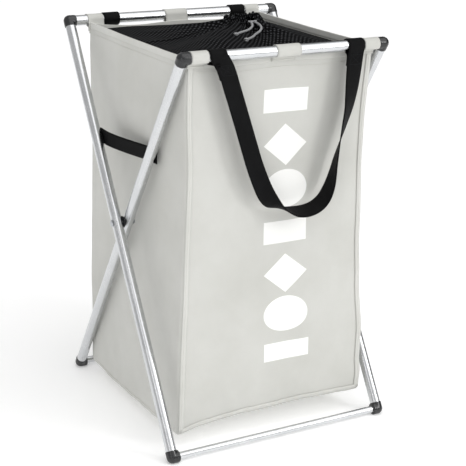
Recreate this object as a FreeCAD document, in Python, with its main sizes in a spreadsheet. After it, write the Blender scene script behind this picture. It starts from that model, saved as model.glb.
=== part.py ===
import FreeCAD, Part
import math
import os

import Sketcher
from FreeCAD import Placement, Rotation, Vector

# Folding laundry hamper: a fabric bag hung between two crossed tube frames.
# X runs along the rails, -Y is the front, Z is up; the origin is on the floor under the middle.
# The outer frame has the front foot rail and the back top rail, the inner frame the other two.

doc = FreeCAD.newDocument("LaundryHamper")
sheet = doc.addObject("Spreadsheet::Sheet", "Sizes")

DRIVING_SIZES = {
    "tube_diameter": 19.0,
    "foot_tube_diameter": 12.7,
    "tube_wall": 1.2,
    "outer_half_width": 211.0,
    "inner_half_width": 190.0,
    "frame_height": 675.0,
    "top_half_depth": 200.0,
    "foot_half_depth": 219.5,
    "corner_diameter": 21.0,
    "corner_reach": 11.0,
    "spigot_length": 24.0,
    "spigot_clearance": 0.1,
    "foot_flat": 0.8,
    "rivet_diameter": 6.0,
    "rivet_clearance": 0.05,
    "rivet_head_diameter": 12.0,
    "rivet_head_thickness": 2.0,
    "spacer_diameter": 21.0,
    "body_gap": 0.3,
    "bag_half_width": 174.0,
    "bag_top_half_depth": 188.0,
    "bag_base_half_depth": 176.0,
    "bag_back_base_half_depth": 188.0,
    "bag_wall": 2.4,
    "bag_base_height": 19.0,
    "bag_rim_height": 676.0,
    "binding_height": 4.0,
    "sleeve_wall": 1.5,
    "sleeve_width": 30.0,
    "sleeve_offset": 163.2,
    "centre_tab_width": 45.0,
    "webbing_width": 30.0,
    "webbing_thickness": 2.0,
    "turn_margin": 0.2,
    "handle_half_spread": 131.0,
    "handle_half_waist": 73.0,
    "handle_waist_drop": 205.0,
    "handle_drop": 288.0,
    "handle_knee_share": 0.8,
    "handle_inner_knee_share": 0.42,
    "handle_low_share": 0.2,
    "strap_width": 25.0,
    "strap_thickness": 1.4,
    "strap_height": 500.0,
    "strap_rivet_diameter": 4.0,
    "strap_rivet_head": 9.0,
    "strap_end": 7.0,
    "strap_bend": 20.0,
    "mesh_wall": 2.0,
    "mesh_rise": 28.0,
    "mesh_base_height": 668.0,
    "mouth_x": 45.0,
    "mouth_y": 20.0,
    "mouth_half": 22.0,
    "mouth_ring_radius": 30.0,
    "casing_radius": 4.2,
    "cord_diameter": 4.0,
    "cord_channel": 4.6,
    "slit_width": 18.0,
    "slit_left": 9.0,
    "slit_depth": 16.0,
    "slit_front": 40.0,
    "slit_height": 12.0,
    "knot_diameter": 10.0,
}

for row, (alias, value) in enumerate(DRIVING_SIZES.items(), start=1):
    sheet.set(f"A{row}", alias)
    sheet.set(f"B{row}", str(value))
    sheet.setAlias(f"B{row}", alias)
doc.recompute()


def size(alias):
    return float(sheet.get(alias))


# ---------------------------------------------------------------- places worked out from the sizes

FOOT_Z = size("corner_diameter") / 2 - size("foot_flat")
TOP_Z = FOOT_Z + size("frame_height")
DEPTH_SUM = size("top_half_depth") + size("foot_half_depth")
PIVOT_Z = FOOT_Z + size("frame_height") * size("foot_half_depth") / DEPTH_SUM
LEG_TILT = math.degrees(math.atan2(DEPTH_SUM, size("frame_height")))
LEG_LENGTH = math.hypot(DEPTH_SUM, size("frame_height"))
PIVOT_ALONG_LEG = LEG_LENGTH * size("foot_half_depth") / DEPTH_SUM
TUBE_RADIUS = size("tube_diameter") / 2
STRAP_RISE = size("strap_height") - PIVOT_Z
STRAP_HALF_REACH = STRAP_RISE * math.tan(math.radians(LEG_TILT))
X_AXIS = Vector(1, 0, 0)
Z_AXIS = Vector(0, 0, 1)

pieces = []


# ---------------------------------------------------------------- helpers for features


def bind(target, **expressions):
    for name, expression in expressions.items():
        target.setExpression(name, expression)
    return target


def origin_plane(body, role):
    return next(p for p in body.Origin.OriginFeatures if p.Role == role)


def new_sketch(body, name, role, lift=0.0):
    sketch = body.newObject("Sketcher::SketchObject", name)
    sketch.AttachmentSupport = [(origin_plane(body, role), "")]
    sketch.MapMode = "FlatFace"
    sketch.AttachmentOffset = Placement(Vector(0, 0, lift), Rotation())
    return sketch


def add_circle(sketch, radius_expression, centre=("0", "0")):
    circle = sketch.addGeometry(Part.Circle(Vector(1, 1, 0), Z_AXIS, 3))
    radius = sketch.addConstraint(Sketcher.Constraint("Radius", circle, 3))
    sketch.setExpression(f"Constraints[{radius}]", radius_expression)
    for kind, expression in zip(("DistanceX", "DistanceY"), centre):
        place = sketch.addConstraint(Sketcher.Constraint(kind, -1, 1, circle, 3, 1))
        sketch.setExpression(f"Constraints[{place}]", expression)


def add_polygon(sketch, corners):
    """A closed outline whose corners are each placed by two expressions."""
    first, count = sketch.GeometryCount, len(corners)
    turn = 2 * math.pi / count
    ring = [Vector(9 * math.cos(turn * n), 9 * math.sin(turn * n), 0) for n in range(count)]
    for n in range(count):
        sketch.addGeometry(Part.LineSegment(ring[n], ring[(n + 1) % count]))
    for n, corner_at in enumerate(corners):
        here, following = first + n, first + (n + 1) % count
        sketch.addConstraint(Sketcher.Constraint("Coincident", here, 2, following, 1))
        for kind, expression in zip(("DistanceX", "DistanceY"), corner_at):
            place = sketch.addConstraint(Sketcher.Constraint(kind, -1, 1, here, 1, 1))
            sketch.setExpression(f"Constraints[{place}]", expression)


def rectangle(left, right, low, high):
    return [(left, low), (right, low), (right, high), (left, high)]


def pad(body, sketch, length_expression, midplane=False):
    feature = body.newObject("PartDesign::Pad", "Pad")
    feature.Profile = sketch
    feature.Midplane = midplane
    feature.setExpression("Length", length_expression)
    sketch.Visibility = False
    return feature


def add_part(kind, name, position=Vector(), rotation=Rotation(), **expressions):
    """A Part primitive, with its sizes bound to the sheet."""
    part = doc.addObject(kind, name)
    part.Placement = Placement(position, rotation)
    return bind(part, **expressions)


def fused(name, shapes):
    joined = doc.addObject("Part::MultiFuse", name)
    joined.Shapes = shapes
    joined.Refine = True
    return joined


def cut(name, base, tools):
    tool = tools[0] if len(tools) == 1 else fused(f"{name}Tools", tools)
    result = doc.addObject("Part::Cut", name)
    result.Base = base
    result.Tool = tool
    return result


def finish_piece(feature, label, placement=None):
    feature.Label = label
    if placement is not None:
        feature.Placement = placement
    pieces.append(feature)
    return feature


def side_name(side):
    return "left" if side < 0 else "right"


# ---------------------------------------------------------------- tubes of the two frames


def cut_across(body, name, along, radius, inward=None):
    """A round hole across a tube: through both walls, or through the wall on the inward side."""
    doc.recompute()
    solid_volume = body.Shape.Volume
    hole = new_sketch(body, name, "YZ_Plane")
    add_circle(hole, radius, centre=("0", f"{along}"))
    pocket = body.newObject("PartDesign::Pocket", "CrossPocket")
    pocket.Profile = hole
    pocket.Type = "ThroughAll"
    pocket.Midplane = inward is None
    pocket.Reversed = inward == 1
    doc.recompute()
    if body.Shape.Volume >= solid_volume:
        raise RuntimeError(f"{name} in {body.Label} cuts nothing")


def straight_tube(label, radius_alias, start, rotation, length_expression):
    """A round tube along its own Z."""
    body = doc.addObject("PartDesign::Body", "TubeBody")
    section = new_sketch(body, "Section", "XY_Plane")
    add_circle(section, f"Sizes.{radius_alias} / 2")
    add_circle(section, f"Sizes.{radius_alias} / 2 - Sizes.tube_wall")
    pad(body, section, length_expression)
    return finish_piece(body, label, Placement(start, rotation))


def leg(label, x, leaning):
    """leaning is +1 for a leg whose foot is at the front and whose top is at the back."""
    rotation = Rotation(X_AXIS, -leaning * LEG_TILT)
    foot = Vector(x, -leaning * size("foot_half_depth"), FOOT_Z)
    start = foot + rotation.multVec(Z_AXIS) * size("corner_reach")
    length = "sqrt(({0})^2 + Sizes.frame_height^2) - 2 * Sizes.corner_reach"
    length = length.format("Sizes.top_half_depth + Sizes.foot_half_depth")
    pivot_at = PIVOT_ALONG_LEG - size("corner_reach")
    strap_at = pivot_at + STRAP_RISE / math.cos(math.radians(LEG_TILT))
    tube = straight_tube(label, "tube_diameter", start, rotation, length)
    cut_across(tube, "PivotHole", pivot_at, "Sizes.rivet_diameter / 2 + Sizes.rivet_clearance")
    strap_radius = "Sizes.strap_rivet_diameter / 2 + Sizes.rivet_clearance"
    cut_across(tube, "StrapHole", strap_at, strap_radius, inward=-1 if x > 0 else 1)


def rail(label, radius_alias, half_width_alias, y, z):
    start = Vector(size("corner_reach") - size(half_width_alias), y, z)
    length = f"2 * (Sizes.{half_width_alias} - Sizes.corner_reach)"
    return straight_tube(label, radius_alias, start, Rotation(Z_AXIS, X_AXIS), length)


for side in (-1, 1):
    leg(f"outer_leg_{side_name(side)}", side * size("outer_half_width"), 1)
    leg(f"inner_leg_{side_name(side)}", side * size("inner_half_width"), -1)

rail("back_top_rail", "tube_diameter", "outer_half_width", size("top_half_depth"), TOP_Z)
rail("front_top_rail", "tube_diameter", "inner_half_width", -size("top_half_depth"), TOP_Z)
rail("front_foot_rail", "foot_tube_diameter", "outer_half_width", -size("foot_half_depth"), FOOT_Z)
rail("back_foot_rail", "foot_tube_diameter", "inner_half_width", size("foot_half_depth"), FOOT_Z)


# ---------------------------------------------------------------- moulded corners


def corner(label, side, half_width_alias, y, z, leg_direction, rail_alias):
    """A moulded elbow: a rounded knuckle with a plug for the leg and a plug for the rail."""
    centre = Vector(side * size(half_width_alias), y, z)
    inward = Vector(-side, 0, 0)
    solids = [add_part("Part::Sphere", "Knuckle", centre, Radius="Sizes.corner_diameter / 2")]
    for direction, alias in ((inward, rail_alias), (leg_direction, "tube_diameter")):
        turn = Rotation(Z_AXIS, direction)
        solids.append(
            add_part(
                "Part::Cylinder", "Shoulder", centre, turn,
                Radius="Sizes.corner_diameter / 2", Height="Sizes.corner_reach",
            )
        )
        plug = f"Sizes.{alias} / 2 - Sizes.tube_wall - Sizes.spigot_clearance"
        solids.append(
            add_part(
                "Part::Cylinder", "Plug", centre, turn,
                Radius=plug, Height="Sizes.corner_reach + Sizes.spigot_length",
            )
        )
    knuckle = fused("CornerSolid", solids)
    if z > FOOT_Z:
        return finish_piece(knuckle, label)
    reach = size("corner_diameter")
    below = add_part(
        "Part::Box", "FloorCut", centre + Vector(-reach, -reach, -FOOT_Z - reach),
        Length="2 * Sizes.corner_diameter", Width="2 * Sizes.corner_diameter",
        Height="Sizes.corner_diameter",
    )
    return finish_piece(cut("CornerFoot", knuckle, [below]), label)


outer_up = Rotation(X_AXIS, -LEG_TILT).multVec(Z_AXIS)
inner_up = Rotation(X_AXIS, LEG_TILT).multVec(Z_AXIS)
for side in (-1, 1):
    top = size("top_half_depth")
    foot = size("foot_half_depth")
    tube, thin = "tube_diameter", "foot_tube_diameter"
    hand = side_name(side)
    corner(f"back_top_corner_{hand}", side, "outer_half_width", top, TOP_Z, -outer_up, tube)
    corner(f"front_foot_corner_{hand}", side, "outer_half_width", -foot, FOOT_Z, outer_up, thin)
    corner(f"front_top_corner_{hand}", side, "inner_half_width", -top, TOP_Z, -inner_up, tube)
    corner(f"back_foot_corner_{hand}", side, "inner_half_width", foot, FOOT_Z, inner_up, thin)


# ---------------------------------------------------------------- pivots between the frames


def pivot(side):
    """A rivet across both legs with a flat head at each end, and the washer between the tubes."""
    outward = Rotation(Z_AXIS, Vector(side, 0, 0))
    inner_face = size("inner_half_width") - TUBE_RADIUS - size("body_gap")
    outer_face = size("outer_half_width") + TUBE_RADIUS + size("body_gap")
    shank_start = Vector(side * inner_face, 0, PIVOT_Z)
    span = "Sizes.outer_half_width - Sizes.inner_half_width + Sizes.tube_diameter"
    head_thickness = size("rivet_head_thickness")
    inner_head = Vector(side * (inner_face - head_thickness), 0, PIVOT_Z)
    solids = [
        add_part(
            "Part::Cylinder", "Shank", shank_start, outward,
            Radius="Sizes.rivet_diameter / 2", Height=f"{span} + 2 * Sizes.body_gap",
        )
    ]
    for start in (inner_head, Vector(side * outer_face, 0, PIVOT_Z)):
        solids.append(
            add_part(
                "Part::Cylinder", "Head", start, outward,
                Radius="Sizes.rivet_head_diameter / 2", Height="Sizes.rivet_head_thickness",
            )
        )
    finish_piece(fused("PivotRivet", solids), f"pivot_rivet_{side_name(side)}")

    washer = doc.addObject("PartDesign::Body", "WasherBody")
    section = new_sketch(washer, "Section", "YZ_Plane")
    add_circle(section, "Sizes.spacer_diameter / 2")
    add_circle(section, "Sizes.rivet_diameter / 2 + Sizes.rivet_clearance")
    gap = "Sizes.outer_half_width - Sizes.inner_half_width - Sizes.tube_diameter"
    pad(washer, section, f"{gap} - 2 * Sizes.body_gap", midplane=True)
    middle = side * (size("outer_half_width") + size("inner_half_width")) / 2
    place = Placement(Vector(middle, 0, PIVOT_Z), Rotation())
    finish_piece(washer, f"pivot_spacer_{side_name(side)}", place)


for side in (-1, 1):
    pivot(side)


# ---------------------------------------------------------------- limit straps at the sides

def limit_strap(side):
    """Webbing between the two legs, offset sideways because one leg runs outside the other."""
    strap = doc.addObject("PartDesign::Body", "StrapBody")
    outline = new_sketch(strap, "Outline", "XY_Plane")
    inner = "(Sizes.inner_half_width - Sizes.tube_diameter / 2 - Sizes.body_gap)"
    outer = "(Sizes.outer_half_width - Sizes.tube_diameter / 2 - Sizes.body_gap)"
    thick = "Sizes.strap_thickness"
    end = f"{STRAP_HALF_REACH} + Sizes.strap_end"
    bend = f"{STRAP_HALF_REACH} - Sizes.strap_bend"
    sign = "-1" if side < 0 else "1"
    near = [(inner, f"-({end})"), (inner, f"-({bend})"), (outer, bend), (outer, end)]
    far = [(f"({x} - {thick})", y) for x, y in reversed(near)]
    add_polygon(outline, [(f"{sign} * {x}", y) for x, y in near + far])
    pad(strap, outline, "Sizes.strap_width", midplane=True)
    doc.recompute()
    for y, x in ((STRAP_HALF_REACH, outer), (-STRAP_HALF_REACH, inner)):
        hole = new_sketch(strap, "RivetHole", "YZ_Plane")
        add_circle(hole, "Sizes.strap_rivet_diameter / 2 + Sizes.body_gap", (f"{y}", "0"))
        pocket = strap.newObject("PartDesign::Pocket", "HolePocket")
        pocket.Profile = hole
        pocket.Type = "ThroughAll"
        pocket.Midplane = True
        doc.recompute()
    place = Placement(Vector(0, 0, size("strap_height")), Rotation())
    finish_piece(strap, f"limit_strap_{side_name(side)}", place)


def strap_rivets(label, half_width_alias, y):
    """One small rivet on each side, from the leg's inner face through the webbing."""
    both = []
    for side in (-1, 1):
        inward = Rotation(Z_AXIS, Vector(-side, 0, 0))
        face = size(half_width_alias) - TUBE_RADIUS + size("tube_wall")
        seat = size(half_width_alias) - TUBE_RADIUS - 2 * size("body_gap")
        seat -= size("strap_thickness")
        shank = "Sizes.tube_wall + 2 * Sizes.body_gap + Sizes.strap_thickness"
        both.append(
            fused(
                "StrapRivet",
                [
                    add_part(
                        "Part::Cylinder", "Shank",
                        Vector(side * face, y, size("strap_height")), inward,
                        Radius="Sizes.strap_rivet_diameter / 2", Height=shank,
                    ),
                    add_part(
                        "Part::Cylinder", "Head",
                        Vector(side * seat, y, size("strap_height")), inward,
                        Radius="Sizes.strap_rivet_head / 2", Height="Sizes.tube_wall",
                    ),
                ],
            )
        )
    pair = doc.addObject("Part::Compound", "StrapRivets")
    pair.Links = both
    finish_piece(pair, label)


for side in (-1, 1):
    limit_strap(side)
strap_rivets("strap_rivets_outer_legs", "outer_half_width", STRAP_HALF_REACH)
strap_rivets("strap_rivets_inner_legs", "inner_half_width", -STRAP_HALF_REACH)


# ---------------------------------------------------------------- bag


def bag_end_panel(label, end):
    """Front or back panel: a sloping sheet across the full width. end is -1 at the front."""
    panel = doc.addObject("PartDesign::Body", "PanelBody")
    outline = new_sketch(panel, "Profile", "YZ_Plane")
    low, high = "Sizes.bag_base_height", "Sizes.bag_rim_height - Sizes.binding_height"
    deep = "Sizes.bag_base_half_depth" if end < 0 else "Sizes.bag_back_base_half_depth"
    wide, wall = "Sizes.bag_top_half_depth", "Sizes.bag_wall"
    corners = [
        (f"{end} * {deep}", low), (f"{end} * {wide}", high),
        (f"{end} * ({wide} - {wall})", high), (f"{end} * ({deep} - {wall})", low),
    ]
    add_polygon(outline, corners)
    pad(panel, outline, "2 * Sizes.bag_half_width", midplane=True)
    finish_piece(panel, label)


def bag_side_panel(side):
    """Side panel, cut to fit between the front and back panels."""
    panel = doc.addObject("PartDesign::Body", "PanelBody")
    outline = new_sketch(panel, "Profile", "YZ_Plane")
    low, high = "Sizes.bag_base_height", "Sizes.bag_rim_height - Sizes.binding_height"
    deep = "(Sizes.bag_base_half_depth - Sizes.bag_wall)"
    back = "(Sizes.bag_back_base_half_depth - Sizes.bag_wall)"
    wide = "(Sizes.bag_top_half_depth - Sizes.bag_wall)"
    corners = [(f"-{deep}", low), (back, low), (wide, high), (f"-{wide}", high)]
    add_polygon(outline, corners)
    pad(panel, outline, "Sizes.bag_wall", midplane=True)
    middle = side * (size("bag_half_width") - size("bag_wall") / 2)
    finish_piece(panel, f"bag_{side_name(side)}_panel", Placement(Vector(middle, 0, 0), Rotation()))


def bag_base():
    base = doc.addObject("PartDesign::Body", "BaseBody")
    outline = new_sketch(base, "Profile", "YZ_Plane")
    wall, deep = "Sizes.bag_wall", "(Sizes.bag_base_half_depth - Sizes.bag_wall)"
    back = "(Sizes.bag_back_base_half_depth - Sizes.bag_wall)"
    low = "Sizes.bag_base_height"
    add_polygon(outline, rectangle(f"-{deep}", back, low, f"{low} + {wall}"))
    pad(base, outline, f"2 * (Sizes.bag_half_width - {wall})", midplane=True)
    finish_piece(base, "bag_base")


def rim_binding():
    """The folded tape along the top edge of all four panels."""
    rim = doc.addObject("PartDesign::Body", "BindingBody")
    lift = size("bag_rim_height") - size("binding_height")
    outline = new_sketch(rim, "Outline", "XY_Plane", lift)
    half_x, half_y = "Sizes.bag_half_width", "Sizes.bag_top_half_depth"
    wall = "Sizes.bag_wall"
    add_polygon(outline, rectangle(f"-{half_x}", half_x, f"-{half_y}", half_y))
    inner_x, inner_y = f"({half_x} - {wall})", f"({half_y} - {wall})"
    add_polygon(outline, rectangle(f"-{inner_x}", inner_x, f"-{inner_y}", inner_y))
    pad(rim, outline, "Sizes.binding_height")
    finish_piece(rim, "bag_rim_binding")


bag_end_panel("bag_front_panel", -1)
bag_end_panel("bag_back_panel", 1)
for side in (-1, 1):
    bag_side_panel(side)
bag_base()
rim_binding()


# ---------------------------------------------------------------- sleeves and tabs on the rails


def rail_loop(label, x, end, width_alias):
    """A cloth loop round a top rail, with its two layers hanging down to the bag's rim."""
    centre = Vector(x - size(width_alias) / 2, end * size("top_half_depth"), TOP_Z)
    along = Rotation(Z_AXIS, X_AXIS)
    bore_radius = "Sizes.tube_diameter / 2 + Sizes.body_gap"
    outer = add_part(
        "Part::Cylinder", "LoopOuter", centre, along,
        Radius=f"{bore_radius} + Sizes.sleeve_wall", Height=f"Sizes.{width_alias}",
    )
    drop = TOP_Z - size("bag_rim_height") - size("body_gap")
    bore = TUBE_RADIUS + size("body_gap")
    inside = bore if end < 0 else -bore - size("sleeve_wall")
    flap = add_part(
        "Part::Box", "Flap", centre + Vector(0, inside, -drop),
        Length=f"Sizes.{width_alias}", Width="Sizes.sleeve_wall", Height=f"{drop}",
    )
    hole = add_part(
        "Part::Cylinder", "LoopBore", centre, along,
        Radius=bore_radius, Height=f"Sizes.{width_alias}",
    )
    finish_piece(cut("RailLoop", fused("LoopSolid", [outer, flap]), [hole]), label)


for end, name in ((-1, "front"), (1, "back")):
    for side in (-1, 1):
        offset = side * size("sleeve_offset")
        rail_loop(f"{name}_sleeve_{side_name(side)}", offset, end, "sleeve_width")
    rail_loop(f"{name}_centre_tab", 0.0, end, "centre_tab_width")


# ---------------------------------------------------------------- carrying handles


def carry_handle(label, end):
    """A webbing loop that hangs outside the bag from two turns round the top rail."""
    strap = doc.addObject("PartDesign::Body", "HandleBody")
    outline = new_sketch(strap, "Outline", "XZ_Plane")
    half = "Sizes.webbing_width / 2"
    top_out = f"Sizes.handle_half_spread + {half}"
    top_in = f"Sizes.handle_half_spread - {half}"
    waist_out = f"Sizes.handle_half_waist + {half}"
    waist_in = f"Sizes.handle_half_waist - {half}"
    waist, low = "Sizes.handle_waist_drop", "Sizes.handle_drop"
    knee, inner_knee = "Sizes.handle_knee_share", "Sizes.handle_inner_knee_share"
    knee_drop = f"({waist} + {low}) / 2"
    outer = [
        (top_out, "0"), (waist_out, f"-{waist}"),
        (f"{knee} * Sizes.handle_half_waist", f"-({knee_drop} + {half})"),
        (f"{knee} * Sizes.webbing_width", f"-{low}"),
    ]
    inner = [
        (top_in, "0"), (waist_in, f"-{waist}"),
        (f"{inner_knee} * Sizes.handle_half_waist", f"-({knee_drop} - {half} / 2)"),
        ("Sizes.handle_low_share * Sizes.handle_half_waist", f"-({low} - Sizes.webbing_width)"),
    ]
    other_outer = [(f"-({x})", y) for x, y in reversed(outer)]
    other_inner = [(f"-({x})", y) for x, y in inner]
    add_polygon(outline, outer + other_outer + other_inner + inner[::-1])
    pad(strap, outline, "Sizes.webbing_thickness")
    rail_centre = Vector(0, end * size("top_half_depth"), TOP_Z)
    bore = TUBE_RADIUS + size("body_gap") + size("turn_margin")
    face = -bore if end < 0 else bore + size("webbing_thickness")
    strap.Placement = Placement(rail_centre + Vector(0, face, 0), Rotation())
    rings, holes = [strap], []
    for side in (-1, 1):
        turn_start = side * size("handle_half_spread") - size("webbing_width") / 2
        at = rail_centre + Vector(turn_start, 0, 0)
        radius = "Sizes.tube_diameter / 2 + Sizes.body_gap"
        along = Rotation(Z_AXIS, X_AXIS)
        rings.append(
            add_part(
                "Part::Cylinder", "Turn", at, along,
                Radius=f"{radius} + Sizes.webbing_thickness + 2 * Sizes.turn_margin",
                Height="Sizes.webbing_width",
            )
        )
        holes.append(
            add_part(
                "Part::Cylinder", "TurnBore", at, along,
                Radius=radius, Height="Sizes.webbing_width",
            )
        )
    finish_piece(cut("HandleLoop", fused("HandleSolid", rings), holes), label)


carry_handle("front_handle", -1)
carry_handle("back_handle", 1)


# ---------------------------------------------------------------- mesh top and its drawstring

MOUTH = Vector(size("mouth_x"), size("mouth_y"), size("mesh_base_height") + size("mesh_rise"))


def mesh_top():
    """A shallow tent of mesh sewn inside the rim, rising to a small gathered mouth."""
    tent = doc.addObject("PartDesign::Body", "MeshBody")
    half_x = "(Sizes.bag_half_width - Sizes.bag_wall - Sizes.body_gap)"
    half_y = "(Sizes.bag_top_half_depth - Sizes.bag_wall - 4 * Sizes.body_gap)"
    reach = "(Sizes.mouth_half + 3 * Sizes.mesh_wall)"
    for kind, sink, inset in (
        ("PartDesign::AdditiveLoft", 0.0, "0"),
        ("PartDesign::SubtractiveLoft", size("mesh_wall"), "Sizes.mesh_wall"),
    ):
        base = size("mesh_base_height") - sink
        low = new_sketch(tent, "Base", "XY_Plane", base)
        x, y = f"({half_x} - {inset})", f"({half_y} - {inset})"
        add_polygon(low, rectangle(f"-{x}", x, f"-{y}", y))
        high = new_sketch(tent, "Crown", "XY_Plane", base + size("mesh_rise"))
        left, right = f"Sizes.mouth_x - {reach}", f"Sizes.mouth_x + {reach}"
        front, back = f"Sizes.mouth_y - {reach}", f"Sizes.mouth_y + {reach}"
        add_polygon(high, rectangle(left, right, front, back))
        loft = tent.newObject(kind, "Tent")
        loft.Profile = low
        loft.Sections = [high]
        loft.Ruled = True
        doc.recompute()
    opening = new_sketch(tent, "Mouth", "XY_Plane", MOUTH.z)
    half = "Sizes.mouth_half"
    left, right = f"Sizes.mouth_x - {half}", f"Sizes.mouth_x + {half}"
    front, back = f"Sizes.mouth_y - {half}", f"Sizes.mouth_y + {half}"
    add_polygon(opening, rectangle(left, right, front, back))
    pocket = tent.newObject("PartDesign::Pocket", "MouthPocket")
    pocket.Profile = opening
    pocket.setExpression("Length", "2 * Sizes.mesh_wall")
    finish_piece(tent, "mesh_top")


def mouth_ring():
    """The cloth casing round the mouth, open at the front where the drawstring comes out."""
    centre = MOUTH + Vector(0, 0, size("casing_radius"))
    casing = add_part(
        "Part::Torus", "Casing", centre,
        Radius1="Sizes.mouth_ring_radius", Radius2="Sizes.casing_radius",
    )
    channel = add_part(
        "Part::Torus", "Channel", centre,
        Radius1="Sizes.mouth_ring_radius", Radius2="Sizes.cord_channel / 2",
    )
    slit_corner = Vector(-size("slit_left"), -size("slit_front"), -size("slit_height") / 2)
    slit = add_part(
        "Part::Box", "Slit", centre + slit_corner,
        Length="Sizes.slit_width", Width="Sizes.slit_depth", Height="Sizes.slit_height",
    )
    finish_piece(cut("CasingHollow", casing, [channel, slit]), "mesh_mouth_casing")
    string = add_part(
        "Part::Torus", "DrawstringLoop", centre,
        Radius1="Sizes.mouth_ring_radius", Radius2="Sizes.cord_diameter / 2",
    )
    finish_piece(string, "drawstring_loop")


mesh_top()
mouth_ring()


# ---------------------------------------------------------------- drawstring ends and their knots


def cord_route(points):
    """Straight runs joined by tangent arcs, each arc as large as its two runs allow."""
    edges, radii, begin = [], [], points[0]
    for before, at, after in zip(points, points[1:], points[2:]):
        incoming, outgoing = at - before, after - at
        turn = incoming.getAngle(outgoing)
        setback = 0.45 * min(incoming.Length, outgoing.Length)
        radii.append(setback / math.tan(turn / 2))
        enter = at - incoming.normalize() * setback
        leave = at + outgoing.normalize() * setback
        bisector = (leave - at) + (enter - at)
        centre_distance = math.hypot(setback, radii[-1])
        middle = at + bisector.normalize() * (centre_distance - radii[-1])
        edges.append(Part.LineSegment(begin, enter).toShape())
        edges.append(Part.Arc(enter, middle, leave).toShape())
        begin = leave
    edges.append(Part.LineSegment(begin, points[-1]).toShape())
    return Part.Wire(edges), radii


def cord_end(label, points, knot_label):
    path, radii = cord_route(points)
    start_direction = points[1] - points[0]
    radius = size("cord_diameter") / 2
    section = Part.Wire(Part.Circle(points[0], start_direction, radius).toShape())
    tube = path.makePipeShell([section], True, False)
    expected = math.pi * radius**2 * path.Length
    print(f"{label}: length {path.Length:.1f}, radii {[round(r, 1) for r in radii]}")
    print(f"{label}: volume {tube.Volume:.1f}, section times length {expected:.1f}")
    cord = doc.addObject("Part::Feature", "CordEnd")
    cord.Shape = tube
    finish_piece(cord, label)
    last = points[-1] - points[-2]
    knot_centre = points[-1] + last.normalize() * (size("knot_diameter") / 2)
    knot = add_part("Part::Sphere", "Knot", knot_centre, Radius="Sizes.knot_diameter / 2")
    finish_piece(knot, knot_label)


# Each route leaves the slit in the casing and lies on the mesh towards the front left.
LEFT_END = [
    Vector(41, -13.5, 700), Vector(38.5, -24, 698.6), Vector(29, -38, 695.5),
    Vector(14, -50, 693.2), Vector(-2, -57, 692.5), Vector(-17, -68, 692.2),
]
RIGHT_END = [
    Vector(48.5, -13.5, 700), Vector(50.5, -26, 698), Vector(46, -43, 694.8),
    Vector(33, -59, 691.9), Vector(16, -72, 689.9), Vector(1, -88, 688.1),
    Vector(-14, -98, 687.6),
]
cord_end("drawstring_end_left", LEFT_END, "drawstring_knot_left")
cord_end("drawstring_end_right", RIGHT_END, "drawstring_knot_right")


# ---------------------------------------------------------------- checks and export

doc.recompute()
for feature in doc.Objects:
    if {"Invalid", "Error"} & set(feature.State):
        raise RuntimeError(f"{feature.Name} ({feature.Label}) is {feature.State}")
for piece in pieces:
    if piece.Shape.isNull() or not piece.Shape.isValid() or not piece.Shape.Solids:
        raise RuntimeError(f"{piece.Label} has no valid solid")

os.makedirs("parts", exist_ok=True)
for piece in pieces:
    piece.Shape.exportStep(f"parts/{piece.Label}.step")
print(f"{len(pieces)} pieces written")
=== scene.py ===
import math

import bmesh
import bpy
from mathutils import Matrix, Vector, noise


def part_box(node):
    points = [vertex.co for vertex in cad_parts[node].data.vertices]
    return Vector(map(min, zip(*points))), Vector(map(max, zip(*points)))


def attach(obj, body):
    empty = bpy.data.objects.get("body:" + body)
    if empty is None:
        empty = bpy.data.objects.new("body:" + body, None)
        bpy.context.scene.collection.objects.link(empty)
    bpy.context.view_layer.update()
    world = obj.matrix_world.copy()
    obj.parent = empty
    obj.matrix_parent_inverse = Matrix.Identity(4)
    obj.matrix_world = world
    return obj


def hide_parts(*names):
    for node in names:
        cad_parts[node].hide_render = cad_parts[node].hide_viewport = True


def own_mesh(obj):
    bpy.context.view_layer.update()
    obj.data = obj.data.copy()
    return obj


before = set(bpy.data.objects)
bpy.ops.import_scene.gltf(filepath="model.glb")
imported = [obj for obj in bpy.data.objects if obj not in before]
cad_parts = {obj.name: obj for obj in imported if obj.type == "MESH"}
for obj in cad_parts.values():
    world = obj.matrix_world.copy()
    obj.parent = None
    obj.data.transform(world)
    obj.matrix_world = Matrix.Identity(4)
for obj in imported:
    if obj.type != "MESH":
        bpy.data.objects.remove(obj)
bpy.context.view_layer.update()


# ------------------------------------------------------------------ frame tubes
# Legs and top rails are 19 mm drawn aluminium tube, foot rails 12.7 mm, cut square at both ends.
# They are bare and satin, with fine lines along the tube from the drawing die and faint rubbed patches.


def linear(code):
    """An sRGB hex colour as the linear values that a shader takes."""
    values = []
    for start in (1, 3, 5):
        shade = int(code[start:start + 2], 16) / 255
        values.append(shade / 12.92 if shade <= 0.04045 else ((shade + 0.055) / 1.055) ** 2.4)
    return (*values, 1.0)


def new_finish(name, colour, **sockets):
    """A material whose shader has these plain values; underscores stand for spaces."""
    finish = bpy.data.materials.new(name)
    finish.use_nodes = True
    shader = finish.node_tree.nodes["Principled BSDF"]
    shader.inputs["Base Color"].default_value = linear(colour)
    for socket, value in sockets.items():
        shader.inputs[socket.replace("_", " ")].default_value = value
    return finish


def add_node(finish, kind, inputs=(), **settings):
    """Adds a node; inputs are pairs of a socket and a value or another node's output."""
    node = finish.node_tree.nodes.new("ShaderNode" + kind)
    for setting, value in settings.items():
        setattr(node, setting, value)
    for socket, source in inputs:
        if isinstance(source, bpy.types.NodeSocket):
            finish.node_tree.links.new(source, node.inputs[socket])
        else:
            node.inputs[socket].default_value = source
    return node


def feed(finish, **sources):
    """Joins node outputs to the shader's own sockets."""
    shader = finish.node_tree.nodes["Principled BSDF"]
    for socket, source in sources.items():
        finish.node_tree.links.new(source, shader.inputs[socket.replace("_", " ")])


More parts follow.
